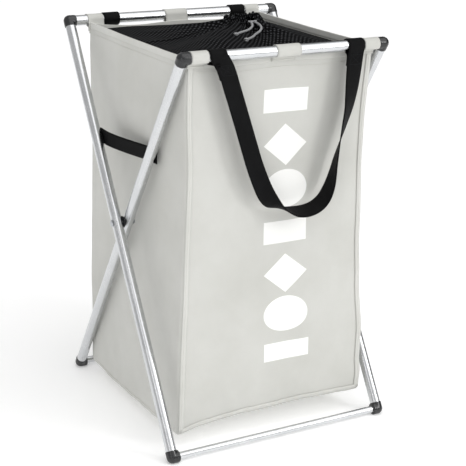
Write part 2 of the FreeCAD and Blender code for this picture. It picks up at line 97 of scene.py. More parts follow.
def drawn_aluminium(name, turn):
    """Bright satin metal; turn brings the tube's own direction onto Z for the lines along it."""
    metal = new_finish(name, "#D3D5D7", Metallic=1.0, Roughness=0.24)
    place = add_node(metal, "TexCoord")
    upright = add_node(metal, "Mapping", [("Vector", place.outputs["Object"]), ("Rotation", turn)])
    # Die lines are about 0.2 mm apart; they are drawn 1.2 mm apart so that they show.
    stretch = add_node(metal, "Mapping", [("Vector", upright.outputs[0]), ("Scale", (830, 830, 7))])
    lines = add_node(metal, "TexNoise", [("Vector", stretch.outputs[0]), ("Scale", 1.0), ("Detail", 2.0)])
    rubbed = add_node(metal, "TexNoise", [("Vector", place.outputs["Object"]), ("Scale", 28.0),
                                          ("Detail", 4.0), ("Roughness", 0.6)])
    both = add_node(metal, "Math", [(0, lines.outputs[0]), (1, rubbed.outputs[0])], operation="ADD")
    rough = add_node(metal, "MapRange", [("Value", both.outputs[0]), ("From Min", 0.6),
                                         ("From Max", 1.4), ("To Min", 0.17), ("To Max", 0.33)])
    tone = add_node(metal, "Mix", [(0, rubbed.outputs[0]), (6, linear("#C4C6C9")),
                                   (7, linear("#DFE0E1"))], data_type="RGBA")
    bump = add_node(metal, "Bump", [("Height", lines.outputs[0]), ("Strength", 0.12),
                                    ("Distance", 0.0002)])
    feed(metal, Base_Color=tone.outputs[2], Roughness=rough.outputs[0], Normal=bump.outputs[0])
    return metal


def refinish(node, finish):
    """Gives a CAD node its finish."""
    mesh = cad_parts[node].data
    mesh.materials.clear()
    mesh.materials.append(finish)


foot_low, foot_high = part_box("front_foot_rail")
rail_low, rail_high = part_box("front_top_rail")
back_low, back_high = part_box("back_top_rail")
TUBE_RADIUS = (rail_high.z - rail_low.z) / 2
FRONT_RAIL = Vector((0, (rail_low.y + rail_high.y) / 2, (rail_low.z + rail_high.z) / 2))
BACK_RAIL = Vector((0, (back_low.y + back_high.y) / 2, (back_low.z + back_high.z) / 2))
foot_y = (foot_low.y + foot_high.y) / 2
foot_z = (foot_low.z + foot_high.z) / 2
LEAN = math.atan2(BACK_RAIL.y - foot_y, BACK_RAIL.z - foot_z)

rail_metal = drawn_aluminium("drawn_aluminium_rail", (0, math.pi / 2, 0))
outer_metal = drawn_aluminium("drawn_aluminium_outer_leg", (LEAN, 0, 0))
inner_metal = drawn_aluminium("drawn_aluminium_inner_leg", (-LEAN, 0, 0))
for rail_name in ("back_top_rail", "front_top_rail", "front_foot_rail", "back_foot_rail"):
    refinish(rail_name, rail_metal)
for hand in ("left", "right"):
    refinish(f"outer_leg_{hand}", outer_metal)
    refinish(f"inner_leg_{hand}", inner_metal)


# ------------------------------------------------------------------ moulded corners
# Each leg meets its rail in an injection-moulded black ABS elbow with a plug inside both tubes.
# The knuckle is blended into its two shoulders by the mould, glossy with a faint orange-peel skin.


def moulded_plastic(name, colour, gloss):
    """Black ABS straight from a polished mould, with scuffs that lift its roughness."""
    plastic = new_finish(name, colour, Roughness=gloss, IOR=1.54)
    place = add_node(plastic, "TexCoord")
    # The skin ripples every 3 mm or so, and the scuffs are patches of about 12 mm.
    ripple = add_node(plastic, "TexNoise", [("Vector", place.outputs["Object"]), ("Scale", 330.0),
                                            ("Detail", 2.0)])
    scuffs = add_node(plastic, "TexNoise", [("Vector", place.outputs["Object"]), ("Scale", 85.0),
                                            ("Detail", 5.0), ("Roughness", 0.65)])
    rough = add_node(plastic, "MapRange", [("Value", scuffs.outputs[0]), ("From Min", 0.4),
                                           ("From Max", 0.75), ("To Min", gloss),
                                           ("To Max", gloss + 0.22)])
    tone = add_node(plastic, "Mix", [(0, scuffs.outputs[0]), (6, linear(colour)),
                                     (7, linear("#2B2C2E"))], data_type="RGBA")
    bump = add_node(plastic, "Bump", [("Height", ripple.outputs[0]), ("Strength", 0.10),
                                      ("Distance", 0.0004)])
    feed(plastic, Base_Color=tone.outputs[2], Roughness=rough.outputs[0], Normal=bump.outputs[0])
    return plastic


def make_piece(name, shape, finishes, sharp_angle=35):
    """Turns a finished bmesh into a named piece, smooth except over edges sharper than the angle."""
    mesh = bpy.data.meshes.new(name)
    shape.to_mesh(mesh)
    shape.free()
    for finish in finishes:
        mesh.materials.append(finish)
    mesh.polygons.foreach_set("use_smooth", [True] * len(mesh.polygons))
    mesh.set_sharp_from_angle(angle=math.radians(sharp_angle))
    piece = bpy.data.objects.new(name, mesh)
    bpy.context.scene.collection.objects.link(piece)
    return piece


def add_modifier(piece, kind, **settings):
    modifier = piece.modifiers.new(kind.title(), kind)
    for setting, value in settings.items():
        setattr(modifier, setting, value)
    return modifier


def fix_to(piece, body, slot_name, *nodes):
    """The piece moves with a body and stands in for the CAD nodes named."""
    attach(piece, body)
    if nodes:
        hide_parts(*nodes)


def flatten_with(piece, body, keep, slot_name, *nodes):
    """The same for cloth; the piece also gets a mesh of its own."""
    fix_to(piece, body, slot_name, *nodes)
    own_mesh(piece)


elbow_plastic = moulded_plastic("moulded_abs_black", "#0D0E0F", 0.16)
CORNERS = {"back_top_corner": "outer_frame", "front_foot_corner": "outer_frame",
           "front_top_corner": "inner_frame", "back_foot_corner": "inner_frame"}


def moulded_elbow(node, body):
    """The knuckle and shoulders of one corner, run together as the mould leaves them."""
    elbow = bmesh.new()
    elbow.from_mesh(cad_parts[node].data)
    bmesh.ops.remove_doubles(elbow, verts=elbow.verts, dist=0.00002)
    piece = make_piece(node + "_elbow", elbow, [elbow_plastic])
    add_modifier(piece, "REMESH", mode="VOXEL", voxel_size=0.0008, use_smooth_shade=True)
    add_modifier(piece, "SMOOTH", factor=0.5, iterations=6)
    fix_to(piece, body, "corner_plastic", node)


for corner_name, corner_body in CORNERS.items():
    for hand in ("left", "right"):
        moulded_elbow(f"{corner_name}_{hand}", corner_body)


# ------------------------------------------------------------------ pivots
# A steel rivet holds the crossed legs together on each side, with a black washer between the tubes.
# Its heads are pressed into low domes, bright zinc on steel.


def zinc_steel(name):
    """Zinc-plated steel: cooler and rougher than the tubes, with a faint mottled grain."""
    steel = new_finish(name, "#B9BCC0", Metallic=1.0, Roughness=0.3)
    place = add_node(steel, "TexCoord")
    grain = add_node(steel, "TexNoise", [("Vector", place.outputs["Object"]), ("Scale", 700.0),
                                         ("Detail", 3.0)])
    rough = add_node(steel, "MapRange", [("Value", grain.outputs[0]), ("From Min", 0.3),
                                         ("From Max", 0.7), ("To Min", 0.22), ("To Max", 0.42)])
    tone = add_node(steel, "Mix", [(0, grain.outputs[0]), (6, linear("#A6A9AE")),
                                   (7, linear("#C9CBCE"))], data_type="RGBA")
    feed(steel, Base_Color=tone.outputs[2], Roughness=rough.outputs[0])
    return steel


def spun_solid(profile, steps=32):
    """Spins (radius, height) points round Z into a closed solid."""
    solid = bmesh.new()
    line = [solid.verts.new((radius, 0, height)) for radius, height in profile]
    edges = [solid.edges.new(pair) for pair in zip(line, line[1:])]
    bmesh.ops.spin(solid, geom=line + edges, axis=(0, 0, 1), cent=(0, 0, 0),
                   angle=2 * math.pi, steps=steps, use_merge=True)
    bmesh.ops.remove_doubles(solid, verts=solid.verts, dist=0.000005)
    bmesh.ops.recalc_face_normals(solid, faces=solid.faces)
    return solid


rivet_steel = zinc_steel("zinc_steel_rivet")
washer_plastic = moulded_plastic("moulded_nylon_black", "#121314", 0.3)
for hand, side in (("left", -1), ("right", 1)):
    low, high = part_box(f"pivot_rivet_{hand}")
    centre, span = (low + high) / 2, high.x - low.x
    radius = (high.z - low.z) / 2
    profile = [(0, 0), (radius * 0.45, 0.0002), (radius * 0.8, 0.0008), (radius, 0.0016),
               (radius, 0.002), (0.003, 0.002), (0.003, span - 0.002), (radius, span - 0.002),
               (radius, span - 0.0016), (radius * 0.8, span - 0.0008),
               (radius * 0.45, span - 0.0002), (0, span)]
    rivet = spun_solid(profile)
    bmesh.ops.transform(rivet, matrix=Matrix.Translation((low.x, centre.y, centre.z))
                        @ Matrix.Rotation(math.pi / 2, 4, "Y"), verts=rivet.verts)
    rivet = make_piece(f"pivot_rivet_domed_{hand}", rivet, [rivet_steel])
    fix_to(rivet, "pivots", "rivet_steel", f"pivot_rivet_{hand}")
    refinish(f"pivot_spacer_{hand}", washer_plastic)
for legs in ("outer", "inner"):
    refinish(f"strap_rivets_{legs}_legs", rivet_steel)


# ------------------------------------------------------------------ bag
# The bag is sewn from coated polyester oxford cloth, 0.6 mm thick with a stiffening layer inside.
# It hangs from cloth loops on the two top rails and sags a little: the sides pull in at half height,
# the front's foot swells to the right, and its lower edge lifts off the level of the sides.

BAG_LEFT, BAG_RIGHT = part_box("bag_left_panel")[0].x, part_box("bag_right_panel")[1].x
BAG_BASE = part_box("bag_base")[0].z
BAG_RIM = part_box("bag_rim_binding")[1].z
FRONT_TOP, BACK_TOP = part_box("bag_rim_binding")[0].y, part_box("bag_rim_binding")[1].y
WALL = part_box("bag_base")[1].z - BAG_BASE
FRONT_FOOT, BACK_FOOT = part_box("bag_base")[0].y - WALL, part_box("bag_base")[1].y + WALL

# How far each upright edge stands outside the flat panels, by height above the floor.
LEFT_FRONT_EDGE = [(0.02, 0.006), (0.13, 0.005), (0.32, 0.002), (0.49, -0.001), (0.60, 0.003),
                   (0.68, 0.003)]
RIGHT_FRONT_EDGE = [(0.02, 0.018), (0.14, 0.015), (0.26, 0.007), (0.36, 0.001), (0.56, -0.003),
                    (0.68, 0.003)]
BACK_EDGE = [(0.02, 0.006), (0.20, 0.005), (0.45, 0.0), (0.68, 0.002)]
FRONT_SWELL = [(0.02, 0.009), (0.15, 0.009), (0.30, 0.003), (0.50, 0.0), (0.68, 0.0)]
FRONT_LIFT = [(-1.0, 0.004), (-0.75, 0.013), (-0.2, 0.019), (0.5, 0.022), (1.0, 0.020)]


def between(table, at):
    """Reads a value off (place, value) pairs, easing from one to the next."""
    if at <= table[0][0]:
        return table[0][1]
    for (start, low), (end, high) in zip(table, table[1:]):
        if at <= end:
            share = (at - start) / (end - start)
            return low + (high - low) * share * share * (3 - 2 * share)
    return table[-1][1]


def eased(value, start, end):
    share = min(1.0, max(0.0, (value - start) / (end - start)))
    return share * share * (3 - 2 * share)


def hanging(u, v, z):
    """Where the cloth hangs: u and v run from -1 to 1 across the bag and front to back."""
    height = (z - BAG_BASE) / (BAG_RIM - BAG_BASE)
    depth = (v + 1) / 2
    left = BAG_LEFT - between(LEFT_FRONT_EDGE, z) * (1 - depth) - between(BACK_EDGE, z) * depth
    right = BAG_RIGHT + between(RIGHT_FRONT_EDGE, z) * (1 - depth) + between(BACK_EDGE, z) * depth
    front = FRONT_FOOT + (FRONT_TOP - FRONT_FOOT) * height
    front -= between(FRONT_SWELL, z) * eased(u, -0.6, 1.0)
    back = BACK_FOOT + (BACK_TOP - BACK_FOOT) * height
    on_front, on_back = max(0.0, -v) ** 10, max(0.0, v) ** 10
    on_left, on_right = max(0.0, -u) ** 10, max(0.0, u) ** 10
    spot = Vector((left + (right - left) * (u + 1) / 2, front + (back - front) * depth, z))

    # The end panels belly out low down and pull in under the rim; the sides pull in at half height.
    belly = math.sin(math.pi * min(1.0, height * 1.15)) * (1 - u * u)
    spot.y += (-0.0035 * on_front + 0.004 * on_back) * belly * (1 - 0.9 * height)
    pull = eased(height, 0.55, 0.85) * (1 - u * u)
    spot.y += (0.0030 * on_front - 0.003 * on_back) * pull * (1 - height) * 3
    spot.x += (0.0055 * on_left - 0.0055 * on_right) * math.sin(math.pi * height) * (1 - v * v)

    # Long soft folds run down the panels, and crumples gather near the base.
    run = Vector((spot.x * 13, spot.y * 13, z * 3.2))
    crumple = Vector((spot.x * 34, spot.y * 34, z * 30))
    fold = noise.noise(run) * 0.0026 + noise.noise(run * 2.3) * 0.0010
    fold += noise.noise(crumple) * 0.0022 * (1 - eased(height, 0.03, 0.22))
    fold += noise.noise(crumple * 0.6) * 0.0007
    hem = 1 - 0.75 * eased(height, 0.93, 1.0)
    spot.y += fold * hem * (on_back - on_front)
    spot.x += fold * hem * (on_right - on_left)

    # The rim is drawn up along the sides and dips between the loops. The lower front edge lifts,
    # and the base hangs in the middle.
    dip = math.sin(math.pi * min(1.0, abs(u) / 0.94)) ** 2 * 0.0030 * (on_front + on_back)
    dip += (0.0015 * (1 - v * v) - 0.0070) * max(on_left, on_right)
    spot.z -= dip * eased(height, 0.80, 1.0)
    low = 1 - eased(height, 0.0, 0.30)
    spot.z += low * between(FRONT_LIFT, u) * eased(-v, 0.35, 1.0)
    spot.z += low * 0.004 * eased(v, 0.4, 1.0)
    spot.z -= 0.005 * (1 - u * u) * (1 - v * v) * (1 - eased(height, 0.0, 0.02))
    return spot


def oxford_cloth(name, light, dark):
    """Coated oxford: a matt, faintly sheeny plain weave, greyer where it has been handled."""
    cloth = new_finish(name, light, Roughness=0.62, Sheen_Weight=0.12, Sheen_Roughness=0.5)
    flat = add_node(cloth, "UVMap", uv_map="weave")
    # The yarns are 0.5 mm apart; they are drawn 1.4 mm apart so that the weave shows.
    warp = add_node(cloth, "TexWave", [("Vector", flat.outputs[0]), ("Scale", 0.314 / 0.0014),
                                       ("Distortion", 0.6), ("Detail", 1.0)], bands_direction="X")
    weft = add_node(cloth, "TexWave", [("Vector", flat.outputs[0]), ("Scale", 0.314 / 0.0014),
                                       ("Distortion", 0.6), ("Detail", 1.0)], bands_direction="Y")
    weave = add_node(cloth, "Math", [(0, warp.outputs["Fac"]), (1, weft.outputs["Fac"])],
                     operation="MULTIPLY")
    place = add_node(cloth, "TexCoord")
    handled = add_node(cloth, "TexNoise", [("Vector", place.outputs["Object"]), ("Scale", 7.0),
                                           ("Detail", 5.0), ("Roughness", 0.6)])
    shade = add_node(cloth, "MapRange", [("Value", handled.outputs[0]), ("From Min", 0.35),
                                         ("From Max", 0.70)])
    tone = add_node(cloth, "Mix", [(0, shade.outputs[0]), (6, linear(light)), (7, linear(dark))],
                    data_type="RGBA")
    yarn = add_node(cloth, "MapRange", [("Value", weave.outputs[0]), ("To Min", 0.94),
                                        ("To Max", 1.03)])
    cloth_tone = add_node(cloth, "Mix", [(0, 1.0), (6, tone.outputs[2]), (7, yarn.outputs[0])],
                          data_type="RGBA", blend_type="MULTIPLY")
    creases = add_node(cloth, "TexNoise", [("Vector", place.outputs["Object"]), ("Scale", 55.0),
                                           ("Detail", 4.0)])
    height = add_node(cloth, "Math", [(0, creases.outputs[0]), (1, 2.5), (2, weave.outputs[0])],
                      operation="MULTIPLY_ADD")
    bump = add_node(cloth, "Bump", [("Height", height.outputs[0]), ("Strength", 0.22),
                                    ("Distance", 0.0003)])
    feed(cloth, Base_Color=cloth_tone.outputs[2], Normal=bump.outputs[0])
    return cloth, cloth_tone.outputs[2]


# The print is a column of plain motifs, screen printed in white on the front only.
PRINT_CENTRE, PRINT_HALF_WIDTH = 0.012, 0.042
PRINT_LOW, PRINT_HIGH, MOTIFS = 0.102, 0.638, 7
PRINT_LEAN = 0.026


def printed_cloth(name, light, dark):
    """The same cloth with a white ink column: discs, diamonds and bars in turn."""
    cloth, cloth_tone = oxford_cloth(name, light, dark)
    flat = add_node(cloth, "UVMap", uv_map="weave")
    across = add_node(cloth, "SeparateXYZ", [("Vector", flat.outputs[0])])

    def sum_of(operation, *values):
        return add_node(cloth, "Math", list(enumerate(values)), operation=operation).outputs[0]

    pitch = (PRINT_HIGH - PRINT_LOW) / MOTIFS
    centre = sum_of("MULTIPLY_ADD", across.outputs[1], -PRINT_LEAN, PRINT_CENTRE + PRINT_LEAN * PRINT_HIGH)
    x = sum_of("ABSOLUTE", sum_of("SUBTRACT", across.outputs[0], centre))
    steps = sum_of("DIVIDE", sum_of("SUBTRACT", across.outputs[1], PRINT_LOW), pitch)
    number = sum_of("FLOOR", steps)
    y = sum_of("ABSOLUTE", sum_of("MULTIPLY", sum_of("SUBTRACT", sum_of("FRACT", steps), 0.5), pitch))
    wide = sum_of("MULTIPLY", x, pitch * 0.44 / PRINT_HALF_WIDTH)
    disc = sum_of("SUBTRACT", sum_of("SQRT", sum_of("ADD", sum_of("MULTIPLY", wide, wide),
                                                    sum_of("MULTIPLY", y, y))), pitch * 0.44)
    slope = pitch * 0.47 / PRINT_HALF_WIDTH
    diamond = sum_of("SUBTRACT", sum_of("MULTIPLY_ADD", x, slope, y), pitch * 0.47)
    bar = sum_of("MAXIMUM", sum_of("SUBTRACT", x, PRINT_HALF_WIDTH), sum_of("SUBTRACT", y, pitch * 0.26))
    kind = sum_of("MODULO", number, 3.0)
    first = sum_of("COMPARE", kind, 0.0, 0.4)
    second = sum_of("COMPARE", kind, 1.0, 0.4)
    third = sum_of("COMPARE", kind, 2.0, 0.4)
    edge = sum_of("ADD", sum_of("MULTIPLY", bar, first),
                  sum_of("ADD", sum_of("MULTIPLY", disc, second), sum_of("MULTIPLY", diamond, third)))
    inside = add_node(cloth, "MapRange", [("Value", edge), ("From Min", -0.0004), ("From Max", 0.0004),
                                          ("To Min", 1.0), ("To Max", 0.0)]).outputs[0]
    above = sum_of("GREATER_THAN", across.outputs[1], PRINT_LOW)
    below = sum_of("LESS_THAN", across.outputs[1], PRINT_HIGH)
    ink = sum_of("MULTIPLY", inside, sum_of("MULTIPLY", above, below))
    tone = add_node(cloth, "Mix", [(0, ink), (6, cloth_tone), (7, linear("#FDFDFA"))], data_type="RGBA")
    feed(cloth, Base_Color=tone.outputs[2])
    return cloth


bag_cloth, _ = oxford_cloth("coated_oxford_cloth", "#D5D5D0", "#CBCBC5")
print_cloth = printed_cloth("coated_oxford_cloth_printed", "#D5D5D0", "#CBCBC5")
SOFT_RIM = BAG_RIM - 0.0015
# The share of its depth that the bag keeps when the frame is folded.
BAG_KEEPS = 0.03


def on_bag(piece, slot_name, *nodes):
    """Sewn to the bag: it goes with the bag and gets a mesh of its own."""
    flatten_with(piece, "bag", BAG_KEEPS, slot_name, *nodes)


def weave_map(shape, flat_place):
    """Lays each face's threads out in metres, before the cloth is bent into place."""
    layer = shape.loops.layers.uv.new("weave")
    for face in shape.faces:
        face.normal_update()
        for loop in face.loops:
            loop[layer].uv = flat_place(loop.vert.co, face.normal)


def panel_threads(spot, facing):
    if abs(facing.z) > 0.7:
        return (spot.x * BAG_RIGHT, spot.y * -FRONT_TOP)
    if abs(facing.y) > abs(facing.x):
        return (spot.x * BAG_RIGHT, spot.z)
    return (spot.y * -FRONT_TOP, spot.z)


def is_upright(edge):
    return abs((edge.verts[1].co - edge.verts[0].co).normalized().z) > 0.9


def is_at_foot(edge):
    """An edge where the base meets a wall."""
    if is_upright(edge) or len(edge.link_faces) != 2:
        return False
    middle = (edge.verts[0].co + edge.verts[1].co) / 2
    first, second = (face.normal.z for face in edge.link_faces)
    return middle.z < BAG_BASE + 0.001 and first + second < -0.5 and abs(first - second) > 0.5


def sewn_bag():
    """An open box of cloth with soft edges, cut up finely and hung in its place."""
    shell = bmesh.new()
    bmesh.ops.create_cube(shell, size=2.0)
    lift = Matrix.Translation((0, 0, (SOFT_RIM + BAG_BASE) / 2))
    stretch = Matrix.Diagonal((1, 1, (SOFT_RIM - BAG_BASE) / 2, 1))
    bmesh.ops.transform(shell, verts=shell.verts, matrix=lift @ stretch)
    lid = [face for face in shell.faces if face.normal.z > 0.5]
    bmesh.ops.delete(shell, geom=lid, context="FACES_ONLY")
    for softened, width in ((is_upright, 0.03), (is_at_foot, 0.010)):
        chosen = [edge for edge in shell.edges if softened(edge)]
        bmesh.ops.bevel(shell, geom=chosen, offset=width, offset_type="OFFSET", segments=3,
                        profile=0.5, affect="EDGES", material=-1)
    for axis, cuts, shortest in ((0, 46, 0.5), (1, 46, 0.5), (2, 72, 0.3)):
        chosen = [edge for edge in shell.edges
                  if abs((edge.verts[1].co - edge.verts[0].co)[axis]) > shortest]
        bmesh.ops.subdivide_edges(shell, edges=chosen, cuts=cuts, use_grid_fill=True)
    weave_map(shell, panel_threads)
    for face in shell.faces:
        face.material_index = int(face.normal.y < -0.7)
    for vert in shell.verts:
        vert.co = hanging(vert.co.x, vert.co.y, vert.co.z)
    return shell


bag = make_piece("bag_shell", sewn_bag(), [bag_cloth, print_cloth], sharp_angle=60)
on_bag(bag, "bag_cloth", "bag_front_panel", "bag_back_panel", "bag_left_panel",
       "bag_right_panel", "bag_base")
add_modifier(bag, "SOLIDIFY", thickness=0.0018, offset=-1.0, use_even_offset=True)


# ------------------------------------------------------------------ seams of the bag
# A folded tape covers each upright seam on the front and back, and one runs along each lower edge.
# All are topstitched with light thread, and a row of stitches holds the hem under the rim.

TAPE_WIDTH = 0.009
TAPE_LIFT = 0.0010
OUTWARD = {"front": Vector((0, -1, 0)), "back": Vector((0, 1, 0)),
           "left": Vector((-1, 0, 0)), "right": Vector((1, 0, 0))}


def on_panel(face, across, z, lift=0.0):
    """A spot on one side of the bag: across runs from -1 to 1 along x or y."""
    u, v = {"front": (across, -1), "back": (across, 1), "left": (-1, across), "right": (1, across)}[face]
    return hanging(u, v, z) + OUTWARD[face] * lift


def unit_grid(columns, rows):
    """A flat grid one unit square, with a corner at the origin."""
    grid = bmesh.new()
    bmesh.ops.create_grid(grid, x_segments=columns, y_segments=rows, size=0.5)
    bmesh.ops.translate(grid, verts=grid.verts, vec=(0.5, 0.5, 0))
    return grid


def flat_strip(width, length, columns, rows):
    """A flat strip of cloth lying in XY from the origin, its threads mapped in metres."""
    strip = unit_grid(columns, rows)
    bmesh.ops.scale(strip, verts=strip.verts, vec=(width, length, 1))
    weave_map(strip, lambda spot, facing: (spot.x, spot.y))
    return strip


def bend_cloth(strip, place):
    for vert in strip.verts:
        vert.co = place(vert.co.x, vert.co.y)
    return strip


def cloth_piece(name, strip, finish, thickness, sharp_angle=35, offset=0.0):
    """Turns a bent strip's faces outwards and gives it its thickness."""
    bmesh.ops.recalc_face_normals(strip, faces=strip.faces)
    piece = make_piece(name, strip, [finish], sharp_angle)
    add_modifier(piece, "SOLIDIFY", thickness=thickness, offset=offset)
    return piece


thread_light, _ = oxford_cloth("spun_polyester_thread", "#E2E1DC", "#CFCEC8")
seam_tape, _ = oxford_cloth("folded_polyester_tape", "#DCDCD7", "#D0D0CA")


def join_shapes(parts):
    """Gathers several bmeshes in one."""
    whole = bmesh.new()
    for part in parts:
        mesh = bpy.data.meshes.new("part")
        part.to_mesh(mesh)
        part.free()
        whole.from_mesh(mesh)
        bpy.data.meshes.remove(mesh)
    return whole


def upright_tape(face, side):
    def place(across, along):
        u = side * (0.990 - across / BAG_RIGHT)
        rounded = 0.0006 * math.sin(math.pi * across / TAPE_WIDTH)
        return on_panel(face, u, BAG_BASE + 0.006 + along, TAPE_LIFT + rounded)
    return bend_cloth(flat_strip(TAPE_WIDTH, SOFT_RIM - BAG_BASE - 0.008, 4, 90), place)


def lower_tape(face):
    def place(across, along):
        rounded = 0.0005 * math.sin(math.pi * across / 0.007)
        return on_panel(face, -0.985 + along, BAG_BASE + 0.004 + across, TAPE_LIFT + rounded)
    return bend_cloth(flat_strip(0.007, 1.97, 3, 60), place)


tapes = [upright_tape(face, side) for face in ("front", "back") for side in (-1, 1)]
tapes += [lower_tape(face) for face in ("front", "back")]
tapes = cloth_piece("bag_seam_tapes", join_shapes(tapes), seam_tape, 0.0009)
on_bag(tapes, "rim_tape")

STITCH, STITCH_PITCH, THREAD = 0.0031, 0.0043, 0.0007


def stitch_row(shape, spots, outward):
    """Lays stitches along a row of spots; each is a small six-sided bead of thread."""
    carried = 0.0
    for start, end in zip(spots, spots[1:]):
        step = end - start
        along = step.normalized()
        side = along.cross(outward).normalized()
        up = side.cross(along)
        turn = Matrix((side, along, up)).transposed().to_4x4()
        while carried < step.length:
            middle = start + along * carried
            size = Matrix.Diagonal((THREAD, STITCH, THREAD, 1))
            bmesh.ops.create_cube(shape, size=1.0, matrix=Matrix.Translation(middle) @ turn @ size)
            carried += STITCH_PITCH
        carried -= step.length


stitching = bmesh.new()
uprights = [BAG_BASE + 0.010 + 0.0062 * n for n in range(104)]
level = [-0.93 + 0.02 * n for n in range(94)]
for face, outward in OUTWARD.items():
    if face in ("front", "back"):
        for u in (-0.9645, 0.9645):
            stitch_row(stitching, [on_panel(face, u, z, TAPE_LIFT + 0.0011) for z in uprights], outward)
    stitch_row(stitching, [on_panel(face, across, BAG_RIM - 0.019, 0.0002) for across in level], outward)
    rise = 0.0017 if face in ("front", "back") else 0.0002
    stitch_row(stitching, [on_panel(face, across, BAG_BASE + 0.0075, rise) for across in level], outward)
stitching = make_piece("bag_stitching", stitching, [thread_light], sharp_angle=30)
on_bag(stitching, "rim_tape")


# ------------------------------------------------------------------ rim binding
# A light tape is folded over the top edge of all four sides and sewn through.

BINDING_DEPTH = 0.009


RIM_CORNERS = [(-1, -1), (1, -1), (1, 1), (-1, 1), (-1, -1)]


def round_rim(share):
    """The side, how far along it, and u and v, going round from the left front corner."""
    run = (share % 1.0) * 4
    side = min(3, int(run))
    part = run - side
    start, end = RIM_CORNERS[side], RIM_CORNERS[side + 1]
    u, v = (start[n] + (end[n] - start[n]) * part for n in (0, 1))
    return side, part, u, v


def rim_place(share):
    """Where the rim runs at a share of the way round, and which way is out."""
    outs = [OUTWARD[face] for face in ("front", "right", "back", "left")]
    side, part, u, v = round_rim(share)
    turn = max(0.0, 1 - min(part, 1 - part) / 0.02)
    beside = outs[side - 1] if part < 0.5 else outs[(side + 1) % 4]
    outward = (outs[side] + beside * turn).normalized()
    tuck = 1 - 0.008 * turn
    return u * tuck, v * tuck, outward


def binding_place(share, along):
    u, v, outward = rim_place(share)
    across = along / BINDING_DEPTH
    if across < 1.0:
        drop, shift = 1.0 - across, 0.0007
    elif across < 1.3:
        drop, shift = 0.0, 0.0007 - 0.0032 * (across - 1.0) / 0.3
    else:
        drop, shift = across - 1.3, -0.0025
    crest = 0.0006 * math.sin(math.pi * min(1.0, max(0.0, (across - 0.9) / 0.5)))
    return hanging(u, v, BAG_RIM - 0.0010 - drop * BINDING_DEPTH) + outward * shift + Vector((0, 0, crest))


binding = bend_cloth(flat_strip(1.0, BINDING_DEPTH * 2.3, 200, 16), binding_place)
bmesh.ops.remove_doubles(binding, verts=binding.verts, dist=0.00002)
binding = cloth_piece("bag_rim_tape", binding, seam_tape, 0.0007)
on_bag(binding, "rim_tape", "bag_rim_binding")


# ------------------------------------------------------------------ mesh top
# A rectangle of black warp-knit mesh is sewn inside the rim and gathered by a drawstring to a small
# mouth off the middle. It lies slack near the rim and stands up in pleats round the mouth.

mesh_low, mesh_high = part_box("mesh_top")
ring_low, ring_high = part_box("drawstring_loop")
MOUTH = (ring_low + ring_high) / 2
CORD_RADIUS = (ring_high.z - ring_low.z) / 2
MOUTH_RADIUS = (ring_high.x - ring_low.x) / 2 - CORD_RADIUS
PLEATS = 30
MESH_RINGS = 34


def knitted_mesh(name, thread, painted_hole_light, pitch):
    """Black polyester mesh: glossy filament threads round rows of holes, whose grey is painted light from
    the lit inside of the bag seen through them.
    """
    net = new_finish(name, thread, Roughness=0.75, Specular_IOR_Level=0.05)
    flat = add_node(net, "UVMap", uv_map="weave")
    turned = add_node(net, "Mapping", [("Vector", flat.outputs[0]), ("Rotation", (0, 0, math.radians(45)))])
    # The holes are drawn about 6 mm apart so that they show from a few metres away.
    holes = add_node(net, "TexVoronoi", [("Vector", turned.outputs[0]), ("Scale", 1 / pitch),
                                         ("Randomness", 0.0)])
    open_share = add_node(net, "MapRange", [("Value", holes.outputs["Distance"]), ("From Min", 0.20),
                                            ("From Max", 0.30), ("To Min", 1.0), ("To Max", 0.0)])
    place = add_node(net, "TexCoord")
    worn = add_node(net, "TexNoise", [("Vector", place.outputs["Object"]), ("Scale", 18.0), ("Detail", 3.0)])
    thread_tone = add_node(net, "Mix", [(0, worn.outputs[0]), (6, linear(thread)), (7, linear("#0B0B0C"))],
                           data_type="RGBA")
    # Painted light: the holes take a grey that stands for the lit inside of the bag seen through them.
    tone = add_node(net, "Mix", [(0, open_share.outputs[0]), (6, thread_tone.outputs[2]), (7, linear(painted_hole_light))],
                    data_type="RGBA")
    bump = add_node(net, "Bump", [("Height", open_share.outputs[0]), ("Strength", 0.5),
                                  ("Distance", 0.0006)], invert=True)
    feed(net, Base_Color=tone.outputs[2], Normal=bump.outputs[0])
    return net


# The third colour is the painted light in the holes.
mesh_cloth = knitted_mesh("warp_knit_mesh", "#020203", "#454648", 0.0062)


def rim_square(share):
    """A spot on the sewn edge of the mesh."""
    _, _, u, v = round_rim(share)
    inside = hanging(u * 0.978, v * 0.980, mesh_low.z)
    return Vector((inside.x, inside.y, mesh_low.z + 0.001))


# Broad folds run out from the mouth: the way each points, its width and its height, in radians
# and metres. The largest runs towards the left front corner, and the last two are hollows.
BROAD_FOLDS = [(-2.45, 0.34, 0.017), (-1.2, 0.22, 0.006), (2.5, 0.35, 0.006), (0.6, 0.30, 0.004),
               (-1.75, 0.20, -0.005), (-2.95, 0.25, -0.004)]


def mouth_sway(angle):
    """How far the mouth's edge rises at an angle round it."""
    return 0.0030 * math.sin(angle * 2 + 0.8) + 0.0015 * math.sin(angle * 5)


def pleat(angle):
    """Fine pleats round the mouth, from -1 to 1, every one a little different."""
    ruck = noise.noise(Vector((math.cos(angle) * 2, math.sin(angle) * 2, 9.0)))
    return math.sin(angle * PLEATS + 2.5 * ruck)


